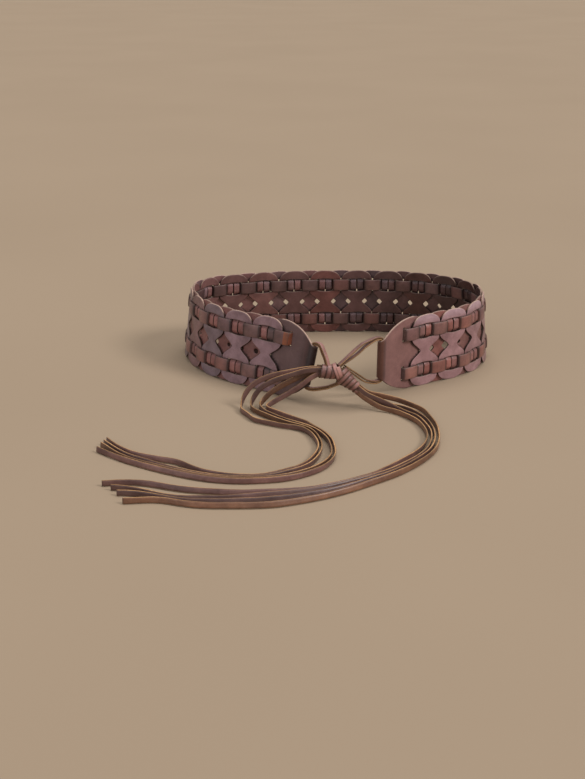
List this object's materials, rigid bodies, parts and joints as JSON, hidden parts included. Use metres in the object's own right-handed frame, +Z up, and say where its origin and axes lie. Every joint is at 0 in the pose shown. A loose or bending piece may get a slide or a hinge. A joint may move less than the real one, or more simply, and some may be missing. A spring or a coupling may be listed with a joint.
{
  "type": "braided leather belt",
  "caption": "Wide braided leather belt of interlaced scalloped links and woven straps, standing as a loop and tied in front with long laces.",
  "frame": {"origin": "on the surface, under the middle of the belt's box, measured without the laces and the knot", "axes": "+Z up along the belt's height, +X to the right of someone who faces the knot, -Y from the belt's middle towards the knot"},
  "size_m": [0.386, 0.47, 0.0752],
  "materials": {
    "outer_leather": "satin",
    "inner_leather": "satin",
    "strap_leather": "satin",
    "tab_leather": "satin",
    "lace_leather": "satin"
  },
  "bodies": {
    "root": {"outer_link_01": "outer_leather", "outer_link_02": "outer_leather", "outer_link_03": "outer_leather", "outer_link_04": "outer_leather", "outer_link_05": "outer_leather", "outer_link_06": "outer_leather", "outer_link_07": "outer_leather", "outer_link_08": "outer_leather", "outer_link_09": "outer_leather", "outer_link_10": "outer_leather", "outer_link_11": "outer_leather", "outer_link_12": "outer_leather", "outer_link_13": "outer_leather", "outer_link_14": "outer_leather", "outer_link_15": "outer_leather", "outer_link_16": "outer_leather", "outer_link_17": "outer_leather", "outer_link_18": "outer_leather", "outer_link_19": "outer_leather", "outer_link_20": "outer_leather", "inner_link_01": "inner_leather", "inner_link_02": "inner_leather", "inner_link_03": "inner_leather", "inner_link_04": "inner_leather", "inner_link_05": "inner_leather", "inner_link_06": "inner_leather", "inner_link_07": "inner_leather", "inner_link_08": "inner_leather", "inner_link_09": "inner_leather", "inner_link_10": "inner_leather", "inner_link_11": "inner_leather", "inner_link_12": "inner_leather", "inner_link_13": "inner_leather", "inner_link_14": "inner_leather", "inner_link_15": "inner_leather", "inner_link_16": "inner_leather", "inner_link_17": "inner_leather", "inner_link_18": "inner_leather", "inner_link_19": "inner_leather", "upper_strap": "strap_leather", "lower_strap": "strap_leather", "left_tab": "tab_leather", "right_tab": "tab_leather", "left_lace_loop": "lace_leather", "right_lace_loop": "lace_leather", "knot": "lace_leather", "lace_tail_1": "lace_leather", "lace_tail_2": "lace_leather", "lace_tail_3": "lace_leather", "lace_tail_4": "lace_leather", "lace_tail_5": "lace_leather", "lace_tail_6": "lace_leather", "lace_tail_7": "lace_leather", "lace_tail_8": "lace_leather"}
  },
  "joints": []
}
